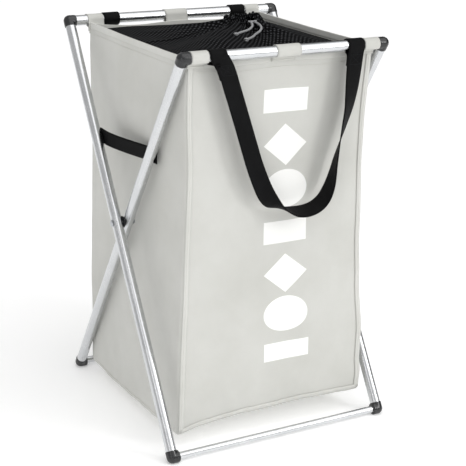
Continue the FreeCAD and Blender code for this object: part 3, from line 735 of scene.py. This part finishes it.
def mesh_place(share, along):
    """The slack cloth between the sewn edge (along 0) and the gathered mouth (along 1)."""
    outer = rim_square(share)
    angle = math.atan2(outer.y - MOUTH.y, outer.x - MOUTH.x)
    ring = Vector((math.cos(angle), math.sin(angle), 0))
    inner = Vector((MOUTH.x, MOUTH.y, mesh_high.z + 0.002 + mouth_sway(angle)))
    inner += ring * (MOUTH_RADIUS - 0.001)
    spot = outer.lerp(inner, along)
    reach = (outer - inner).length
    spot.z = outer.z + (inner.z - outer.z) * (0.35 * along + 0.65 * along ** 2.6)

    ridge = sum(math.exp(-((angle - way) / width) ** 2) * rise for way, width, rise in BROAD_FOLDS)
    spot.z += ridge * math.sin(math.pi * along ** 0.8) * min(1.0, reach / 0.12)
    slack = noise.noise(Vector((spot.x * 24, spot.y * 24, 3.0))) * 0.0035
    spot.z += slack * math.sin(math.pi * along)

    # The pleats deepen towards the drawstring.
    wave = pleat(angle)
    spot.z += wave * 0.0030 * along ** 2.2
    spot += ring * (wave * 0.0016 * along ** 5)
    return spot


def mesh_threads(share, along):
    """The same spot on the flat cloth, before it was gathered."""
    outer = rim_square(share)
    flat_mouth = MOUTH.xy + (outer.xy - MOUTH.xy).normalized() * 0.062
    return outer.xy.lerp(flat_mouth, along)


net = unit_grid(480, MESH_RINGS)
weave_map(net, lambda spot, facing: mesh_threads(spot.x, spot.y))
bend_cloth(net, mesh_place)
bmesh.ops.remove_doubles(net, verts=net.verts, dist=0.00002)
net = cloth_piece("mesh_cover", net, mesh_cloth, 0.0008, sharp_angle=80, offset=-1.0)
on_bag(net, "mesh_cloth", "mesh_top")


# ------------------------------------------------------------------ drawstring
# A limp braided cord, 4 mm thick and grey, runs in a pleated casing round the mouth. Its two ends
# leave through a gap at the front, lie on the mesh and end in overhand knots.


def braided_cord(name):
    """Spun polyester braid: matt, with plaits about 3 mm long."""
    braid = new_finish(name, "#8B8C8E", Roughness=0.7, Sheen_Weight=0.2, Sheen_Roughness=0.5)
    place = add_node(braid, "TexCoord")
    plait = add_node(braid, "TexWave", [("Vector", place.outputs["Object"]), ("Scale", 0.314 / 0.0030),
                                        ("Distortion", 3.0), ("Detail", 1.0)], bands_direction="DIAGONAL")
    tone = add_node(braid, "Mix", [(0, plait.outputs["Fac"]), (6, linear("#6A6B6E")),
                                   (7, linear("#B4B5B6"))], data_type="RGBA")
    bump = add_node(braid, "Bump", [("Height", plait.outputs["Fac"]), ("Strength", 0.5),
                                    ("Distance", 0.0005)])
    feed(braid, Base_Color=tone.outputs[2], Normal=bump.outputs[0])
    return braid


def curve_mesh(kind, spots, closed, **settings):
    """The mesh of a curve of one spline, which is cleared away again."""
    data = bpy.data.curves.new("line", "CURVE")
    data.dimensions = "3D"
    for setting, value in settings.items():
        setattr(data, setting, value)
    spline = data.splines.new(kind)
    spline.points.add(len(spots) - 1)
    for point, spot in zip(spline.points, spots):
        point.co = (*spot, 1.0)
    if kind == "NURBS":
        spline.order_u = 3
        spline.use_endpoint_u = not closed
    spline.use_cyclic_u = closed
    holder = bpy.data.objects.new("line", data)
    mesh = bpy.data.meshes.new_from_object(holder)
    bpy.data.objects.remove(holder)
    bpy.data.curves.remove(data)
    return mesh


def line_through(route, closed=False):
    """The points of the smooth line that a cord takes along its route."""
    mesh = curve_mesh("NURBS", route, closed, resolution_u=16)
    spots = [vert.co.copy() for vert in mesh.vertices]
    bpy.data.meshes.remove(mesh)
    return spots


def tube_along(name, spots, radius, finish, closed=False):
    """A round solid of cord along a line of spots."""
    mesh = curve_mesh("POLY", spots, closed, bevel_depth=radius, bevel_resolution=4,
                      use_fill_caps=not closed)
    shape = bmesh.new()
    shape.from_mesh(mesh)
    bpy.data.meshes.remove(mesh)
    bmesh.ops.remove_doubles(shape, verts=shape.verts, dist=0.000005)
    bmesh.ops.recalc_face_normals(shape, faces=shape.faces)
    return make_piece(name, shape, [finish], sharp_angle=60)


cord_braid = braided_cord("braided_polyester_cord")
CORD_ROUTES = {
    "left": [(0.041, -0.0135, 0.7), (0.0385, -0.024, 0.6986), (0.029, -0.038, 0.6955),
             (0.014, -0.050, 0.6932), (-0.002, -0.057, 0.6925), (-0.017, -0.068, 0.6922)],
    "right": [(0.0485, -0.0135, 0.7), (0.0505, -0.026, 0.698), (0.046, -0.043, 0.6948),
              (0.033, -0.059, 0.6919), (0.016, -0.072, 0.6899), (0.001, -0.088, 0.6881),
              (-0.014, -0.098, 0.6876)],
}


def overhand_knot(name, centre, radius):
    """A trefoil of the same cord, pulled tight."""
    strand = radius * 0.34
    loop = []
    for step in range(14):
        turn = step / 14 * 2 * math.pi
        loop.append(Vector((math.sin(turn) + 2 * math.sin(2 * turn), math.cos(turn) - 2 * math.cos(2 * turn),
                            -1.4 * math.sin(3 * turn))) * ((radius - strand) / 3.0) + centre)
    return tube_along(name, line_through(loop, closed=True), strand, cord_braid, closed=True)


for hand, route in CORD_ROUTES.items():
    low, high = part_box(f"drawstring_knot_{hand}")
    knot = overhand_knot(f"cord_knot_{hand}", (low + high) / 2, (high.x - low.x) / 2)
    on_bag(knot, "drawstring_cord", f"drawstring_knot_{hand}")
    line = line_through(route)
    cord_end = tube_along(f"cord_end_{hand}", line, CORD_RADIUS, cord_braid)
    on_bag(cord_end, "drawstring_cord", f"drawstring_end_{hand}")

ring = [MOUTH + Vector((math.cos(turn * math.pi / 12), math.sin(turn * math.pi / 12), 0)) * MOUTH_RADIUS
        for turn in range(24)]
cord_ring = tube_along("cord_loop", line_through(ring, closed=True), CORD_RADIUS, cord_braid, closed=True)
on_bag(cord_ring, "drawstring_cord", "drawstring_loop")


def casing_place(around, along):
    """The gathered casing: a pleated sleeve of mesh round the cord, open at the front."""
    angle = math.radians(-90 + 17) + around * math.radians(360 - 34)
    ring_way = Vector((math.cos(angle), math.sin(angle), 0))
    girth = 0.0040 + 0.0012 * pleat(angle) + 0.0016 * noise.noise(ring_way * 5)
    turn = along * 2 * math.pi
    out = ring_way * math.cos(turn) + Vector((0, 0, 1.25)) * math.sin(turn)
    slack = 0.0030 * noise.noise(ring_way * 2.2)
    rise = Vector((0, 0, mouth_sway(angle) * 0.8))
    return MOUTH + ring_way * (MOUTH_RADIUS + slack) + out * girth + rise


casing = unit_grid(300, 14)
weave_map(casing, lambda spot, facing: (spot.x * 0.36, spot.y * 0.026))
bend_cloth(casing, casing_place)
bmesh.ops.remove_doubles(casing, verts=casing.verts, dist=0.00001)
casing = cloth_piece("mesh_casing", casing, mesh_cloth, 0.0006, sharp_angle=80, offset=-1.0)
on_bag(casing, "mesh_cloth", "mesh_mouth_casing")


# ------------------------------------------------------------------ loops on the rails
# The bag hangs from strips of its own cloth that pass over the rails: a 30 mm sleeve at each end and
# a 45 mm tab in the middle. Each strip is sewn to both faces of the panel with two rows of stitches.

CLOTH_TURN = TUBE_RADIUS + 0.0008
LOOP_FOOT = -0.0185


def strip_line(stations):
    """A smooth line through stations, each a point and the way the strip's width runs there."""
    reach = [0.0]
    for (start, _), (end, _) in zip(stations, stations[1:]):
        reach.append(reach[-1] + (end - start).length)
    last = len(stations) - 1

    def slope(number, part):
        ahead, behind = min(last, number + 1), max(0, number - 1)
        return (stations[ahead][part] - stations[behind][part]) / (reach[ahead] - reach[behind])

    def at(distance):
        distance = min(reach[-1] - 1e-7, max(0.0, distance))
        number = max(n for n in range(last) if reach[n] <= distance)
        run = reach[number + 1] - reach[number]
        t = (distance - reach[number]) / run
        found = []
        for part in (0, 1):
            start, end = stations[number][part], stations[number + 1][part]
            leave, arrive = slope(number, part) * run, slope(number + 1, part) * run
            found.append(start * (2 * t ** 3 - 3 * t ** 2 + 1) + leave * (t ** 3 - 2 * t ** 2 + t)
                         + end * (3 * t ** 2 - 2 * t ** 3) + arrive * (t ** 3 - t ** 2))
        return found

    def place(across, along):
        spot, way = at(along)
        step = min(reach[-1] - 2e-5, along)
        tangent = (at(step + 1e-5)[0] - at(step)[0]).normalized()
        way = (way - tangent * way.dot(tangent)).normalized()
        return spot + way * across, tangent, way

    return place, reach[-1]


def strip_along(stations, width, columns, rows, ripple=0.0):
    """Bends a flat strip along its stations."""
    place, length = strip_line(stations)
    strip = flat_strip(width, length, columns, rows)

    def bend(across, along):
        spot, tangent, way = place(across - width / 2, along)
        wrinkle = noise.noise(Vector((spot.x * 60, spot.y * 60, spot.z * 60))) * ripple
        return spot + tangent.cross(way) * wrinkle

    return bend_cloth(strip, bend), place


def rail_loop(label, rail, end):
    """A strip from the panel's outer face, over the rail and down inside the rim."""
    low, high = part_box(label)
    width = high.x - low.x
    middle = Vector(((low.x + high.x) / 2, rail.y, rail.z))
    x_way = Vector((1, 0, 0))
    inner = CLOTH_TURN - 0.0002

    def at(out, up):
        return (middle + Vector((0, out * end, up)), x_way)

    stations = [at(-inner + 0.0006, LOOP_FOOT), at(-inner + 0.0008, LOOP_FOOT + 0.006)]
    for degrees in (-47, -20, 10, 40, 70, 100, 130, 160, 180):
        turn = math.radians(degrees)
        stations.append(at(CLOTH_TURN * math.cos(turn), CLOTH_TURN * math.sin(turn)))
    stations += [at(-CLOTH_TURN - 0.0016, -0.008), at(-CLOTH_TURN - 0.0032, -0.014),
                 at(-CLOTH_TURN - 0.0036, -0.022)]
    strip, place = strip_along(stations, width, 10, 60, ripple=0.0004)
    body = "front_loops" if end < 0 else "back_loops"
    fix_to(cloth_piece(f"{label}_cloth", strip, bag_cloth, 0.0011), body, "bag_cloth", label)

    sewing = bmesh.new()
    outward = Vector((0, end, 0))
    for row in (0.002, 0.005):
        spots = [place(-width / 2 + 0.002 + n * (width - 0.004) / 8, row)[0] + outward * 0.0008
                 for n in range(9)]
        stitch_row(sewing, spots, outward)
    sewing = make_piece(f"{label}_stitches", sewing, [thread_light], sharp_angle=30)
    fix_to(sewing, body, "rim_tape")


for end, end_name, rail in ((-1, "front", FRONT_RAIL), (1, "back", BACK_RAIL)):
    for label in (f"{end_name}_sleeve_left", f"{end_name}_centre_tab", f"{end_name}_sleeve_right"):
        rail_loop(label, rail, end)


# ------------------------------------------------------------------ carrying handles
# Each handle is one length of 30 mm black polypropylene webbing, 2 mm thick. Both ends pass round
# the rail and are sewn back on themselves. The front one has twisted as it hangs.

WEBBING_WIDTH, WEBBING = 0.030, 0.0019
WEBBING_TURN = TUBE_RADIUS + 0.0014


def webbing_weave(name, thread, painted_sheen_tone):
    """Black polypropylene webbing: ribs across it every 2 mm and a slightly glossy filament, its sheen
    painted into the colour as lighter ribs in rubbed patches.
    """
    webbing = new_finish(name, thread, Roughness=0.62, Specular_IOR_Level=0.12)
    flat = add_node(webbing, "UVMap", uv_map="weave")
    ribs = add_node(webbing, "TexWave", [("Vector", flat.outputs[0]), ("Scale", 0.314 / 0.0020)],
                    bands_direction="Y")
    rows = add_node(webbing, "TexWave", [("Vector", flat.outputs[0]), ("Scale", 0.314 / 0.0015)],
                    bands_direction="X")
    weave = add_node(webbing, "Math", [(0, ribs.outputs["Fac"]), (1, rows.outputs["Fac"])],
                     operation="MULTIPLY")
    place = add_node(webbing, "TexCoord")
    rubbed = add_node(webbing, "TexNoise", [("Vector", place.outputs["Object"]), ("Scale", 35.0),
                                            ("Detail", 5.0), ("Roughness", 0.7)])
    wear_and_sheen_patches = add_node(webbing, "MapRange", [("Value", rubbed.outputs[0]), ("From Min", 0.45),
                                          ("From Max", 0.80)])
    # Painted sheen: the ribs turn lighter in colour where the rubbed patches lie.
    painted_sheen_mask = add_node(webbing, "Math", [(0, wear_and_sheen_patches.outputs[0]), (1, weave.outputs[0])], operation="MULTIPLY")
    tone = add_node(webbing, "Mix", [(0, painted_sheen_mask.outputs[0]), (6, linear(thread)), (7, linear(painted_sheen_tone))],
                    data_type="RGBA")
    bump = add_node(webbing, "Bump", [("Height", weave.outputs[0]), ("Strength", 0.55),
                                      ("Distance", 0.0004)])
    feed(webbing, Base_Color=tone.outputs[2], Normal=bump.outputs[0])
    return webbing


# The second colour of each is a painted sheen.
black_webbing = webbing_weave("polypropylene_webbing", "#050506", "#202123")
thread_black = webbing_weave("bonded_nylon_thread", "#1B1C1E", "#4C4D50")

# Along the front handle: across, height and how far the webbing has turned, in metres and degrees.
FRONT_HANG = [(-0.1265, 0.678, 0), (-0.1175, 0.663, 0), (-0.1055, 0.630, 0), (-0.088, 0.580, 0),
              (-0.071, 0.530, 2), (-0.0605, 0.500, 4), (-0.046, 0.466, 10), (-0.0365, 0.448, 24),
              (-0.025, 0.433, 46), (-0.011, 0.4230, 74), (0.007, 0.4155, 98), (0.026, 0.4110, 112),
              (0.046, 0.4112, 114), (0.064, 0.4170, 111), (0.078, 0.4290, 103), (0.088, 0.449, 92),
              (0.094, 0.472, 79), (0.0985, 0.495, 69), (0.103, 0.514, 60), (0.108, 0.534, 50),
              (0.1145, 0.560, 39), (0.120, 0.582, 29), (0.123, 0.605, 18), (0.1255, 0.635, 6),
              (0.1275, 0.663, 0), (0.1295, 0.678, 0)]
BACK_HANG = [(-0.130, 0.678, 0), (-0.127, 0.655, 0), (-0.117, 0.610, 3), (-0.104, 0.565, 6),
             (-0.090, 0.520, 9), (-0.075, 0.480, 13), (-0.058, 0.448, 18), (-0.038, 0.426, 24),
             (-0.014, 0.415, 28), (0.010, 0.4135, 28), (0.034, 0.421, 25), (0.055, 0.441, 19),
             (0.073, 0.472, 13), (0.088, 0.512, 9), (0.103, 0.560, 5), (0.117, 0.608, 2),
             (0.127, 0.655, 0), (0.130, 0.678, 0)]


def strap_across(hang, side, z):
    """How far across the strap is at a height, just below the rail on one side."""
    points = hang[:4] if side < 0 else hang[-4:][::-1]
    for (start, high, _), (finish, low, _) in zip(points, points[1:]):
        if z >= low:
            return start + (finish - start) * (high - z) / (high - low)
    return points[-1][0]


def handle_stations(hang, rail, end, spread):
    """Tail, turn round the rail, the hanging part and the same again on the other side."""
    outward = Vector((0, end, 0))

    def ring(side):
        x = side * spread
        tail = [(WEBBING_TURN - 0.0023, -0.033), (WEBBING_TURN - 0.0023, -0.023),
                (WEBBING_TURN - 0.0027, -0.0172), (WEBBING_TURN - 0.0050, -0.0130),
                (0.0030, -0.0113)]
        spots = [(Vector((strap_across(hang, side, rail.z + up), rail.y + out * end, rail.z + up)),
                  Vector((side, 0, 0))) for out, up in tail]
        # From under the rail round the back and over the top to the outer side.
        for degrees in (-90, -120, -150, 180, 150, 120, 90, 60, 30, 0):
            turn = math.radians(degrees)
            spot = Vector((x, rail.y + math.cos(turn) * WEBBING_TURN * end,
                           rail.z + math.sin(turn) * WEBBING_TURN))
            spots.append((spot, Vector((side, 0, 0))))
        return spots

    hanging_part = []
    for number, (x, z, degrees) in enumerate(hang):
        before, after = hang[max(0, number - 1)], hang[min(len(hang) - 1, number + 1)]
        tangent = Vector((after[0] - before[0], 0, after[1] - before[1])).normalized()
        flat_way = tangent.cross(Vector((0, -1, 0)))
        turn = math.radians(degrees)
        way = flat_way * math.cos(turn) - outward * math.sin(turn)
        drop = min(1.0, (rail.z - z) / 0.22)
        spot = Vector((x, rail.y + end * (WEBBING_TURN + 0.0004 * drop), z))
        hanging_part.append((spot, way))
    return ring(-1) + hanging_part + ring(1)[::-1]


def carry_handle(label, hang, rail, end):
    low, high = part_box(label)
    spread = (high.x - low.x) / 2 - WEBBING_WIDTH / 2
    stations = handle_stations(hang, rail, end, spread)
    strip, place = strip_along(stations, WEBBING_WIDTH, 8, 300, ripple=0.0002)
    handle = cloth_piece(f"{label}_webbing", strip, black_webbing, WEBBING, sharp_angle=70)
    fix_to(handle, label, "webbing", label)

    # A box of stitches holds each tail behind the strap.
    sewing = bmesh.new()
    outward = Vector((0, end, 0))
    for side in (-1, 1):
        face_y = rail.y + end * (WEBBING_TURN + WEBBING / 2 + 0.0001)
        corners = [Vector((strap_across(hang, side, rail.z - drop) + across, face_y, rail.z - drop))
                   for across, drop in ((-0.010, 0.014), (0.010, 0.014), (0.010, 0.030), (-0.010, 0.030))]
        stitch_row(sewing, corners + corners[:1] + corners[2:3], outward)
        stitch_row(sewing, [corners[1], corners[3]], outward)
    sewing = make_piece(f"{label}_stitches", sewing, [thread_black], sharp_angle=30)
    fix_to(sewing, label, "webbing")


carry_handle("front_handle", FRONT_HANG, FRONT_RAIL, -1)
carry_handle("back_handle", BACK_HANG, BACK_RAIL, 1)


# ------------------------------------------------------------------ limit straps
# A strap of 25 mm black webbing on each side stops the legs from opening too far. Its ends are
# doubled over and riveted to the inner faces of the two legs.


# The share of its length that a strap keeps when the frame is folded.
STRAP_KEEPS = 0.085


def limit_strap(hand, side):
    low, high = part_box(f"limit_strap_{hand}")
    width, middle = high.z - low.z, (low.z + high.z) / 2
    near, far = (low.x, high.x) if side < 0 else (high.x, low.x)
    thick = 0.0014
    up = Vector((0, 0, 1))
    outer_x, inner_x = near - side * thick / 2, far + side * thick / 2
    half = (high.y - low.y) / 2 - 0.001
    stations = []
    for share in (0.0, 0.06, 0.12, 0.17, 0.25, 0.38, 0.5, 0.62, 0.75, 0.83, 0.88, 0.94, 1.0):
        slide = eased(share, 0.17, 0.83) * 0.35 + 0.65 * min(1.0, max(0.0, (share - 0.17) / 0.66))
        x = outer_x + (inner_x - outer_x) * slide
        sag = -0.0022 * math.sin(math.pi * share)
        stations.append((Vector((x, half - 2 * half * share, middle + sag)), up))
    strip, place = strip_along(stations, width, 6, 90, ripple=0.0003)
    strap = cloth_piece(f"limit_strap_webbing_{hand}", strip, black_webbing, thick, sharp_angle=70)
    flatten_with(strap, "limit_straps", STRAP_KEEPS, "webbing", f"limit_strap_{hand}")
    sewing = bmesh.new()
    outward = Vector((side, 0, 0))
    for along in (0.024, 0.029, 2 * half - 0.029, 2 * half - 0.024):
        for face in (-1, 1):
            spots = [place(-width / 2 + 0.002 + n * (width - 0.004) / 6, along)[0] + outward * 0.0009 * face
                     for n in range(7)]
            stitch_row(sewing, spots, outward * face)
    sewing = make_piece(f"limit_strap_stitches_{hand}", sewing, [thread_black], sharp_angle=30)
    flatten_with(sewing, "limit_straps", STRAP_KEEPS, "webbing")


limit_strap("left", -1)
limit_strap("right", 1)


# ------------------------------------------------------------------ studio
# A plain pale floor and white walls, with a key light from the front right, a tall strip from the
# front left, a wide soft sun overhead and one dark curtain to the back right. The camera stands to
# the front left, a little above the rim.


def place_camera():
    """The camera's turn round the hamper, its rise and roll, and how far back, right and up it is."""
    turn, rise, roll = math.radians(-30.0), math.radians(18.2), math.radians(1.40)
    reach, aside, above = 2.508, 0.027, 0.289
    back = Vector((math.sin(turn) * math.cos(rise), -math.cos(turn) * math.cos(rise), math.sin(rise)))
    level = (-back).cross(Vector((0, 0, 1))).normalized()
    up = level.cross(-back)
    right_way = level * math.cos(roll) + up * math.sin(roll)
    up_way = up * math.cos(roll) - level * math.sin(roll)
    stand = back * reach + right_way * aside + up_way * above + Vector((0, 0, foot_z))
    data = bpy.data.cameras.new("camera")
    data.lens = 101.74
    data.sensor_width = 36.0
    camera = bpy.data.objects.new("camera", data)
    columns = Matrix((right_way, up_way, back)).transposed().to_4x4()
    camera.matrix_world = Matrix.Translation(stand) @ columns
    bpy.context.scene.collection.objects.link(camera)
    bpy.context.scene.camera = camera


def area_light(name, spot, aim, size, watts):
    data = bpy.data.lights.new(name, "AREA")
    data.shape = "RECTANGLE"
    data.size, data.size_y = size
    data.energy = watts
    lamp = bpy.data.objects.new(name, data)
    facing = (Vector(aim) - Vector(spot)).to_track_quat("-Z", "Y").to_matrix().to_4x4()
    lamp.matrix_world = Matrix.Translation(spot) @ facing
    bpy.context.scene.collection.objects.link(lamp)


place_camera()
area_light("key", (1.9, -2.7, 1.75), (0, 0, 0.35), (0.7, 1.1), 19)
area_light("strip", (-2.3, -2.2, 1.2), (0, 0, 0.35), (0.5, 2.2), 6)

sky = bpy.data.lights.new("sky_panel", "SUN")
sky.energy = 1.16
sky.angle = math.radians(70)
sky_lamp = bpy.data.objects.new("sky_panel", sky)
sky_lamp.matrix_world = (Matrix.Rotation(math.radians(24), 4, "X")
                         @ Matrix.Rotation(math.radians(12), 4, "Y"))
bpy.context.scene.collection.objects.link(sky_lamp)


def studio_world():
    """White walls all round but for one dark curtain to the back right, which edges the metal."""
    world = bpy.data.worlds.new("studio")
    world.use_nodes = True
    bpy.context.scene.world = world
    direction = add_node(world, "TexCoord")
    side = add_node(world, "VectorMath", [(0, direction.outputs["Generated"]), (1, (0.90, 0.43, 0.0))],
                    operation="DOT_PRODUCT")
    curtain = add_node(world, "MapRange", [("Value", side.outputs["Value"]), ("From Min", 0.62),
                                           ("From Max", 0.80), ("To Min", 0.57), ("To Max", 0.03)])
    seen = add_node(world, "LightPath")
    strength = add_node(world, "Mix", [(0, seen.outputs["Is Camera Ray"]), (2, curtain.outputs[0]),
                                       (3, 1.0)], data_type="FLOAT")
    paper = world.node_tree.nodes["Background"]
    paper.inputs["Color"].default_value = linear("#FFFFFF")
    world.node_tree.links.new(strength.outputs[0], paper.inputs["Strength"])
    bpy.context.scene.view_settings.view_transform = "Standard"


studio_world()
floor_paint = new_finish("pale_floor", "#F7F7F7", Roughness=0.8, Emission_Color=linear("#FFFFFF"),
                         Emission_Strength=0.25)
grain_place = add_node(floor_paint, "TexCoord")
floor_grain = add_node(floor_paint, "TexNoise", [("Vector", grain_place.outputs["Object"]), ("Scale", 3.0)])
floor_tone = add_node(floor_paint, "Mix", [(0, floor_grain.outputs[0]), (6, linear("#F9F9F9")),
                                           (7, linear("#FCFCFC"))], data_type="RGBA")
feed(floor_paint, Base_Color=floor_tone.outputs[2])
ground = bmesh.new()
bmesh.ops.create_circle(ground, cap_ends=True, radius=9.0, segments=64)
ground = make_piece("floor", ground, [floor_paint])
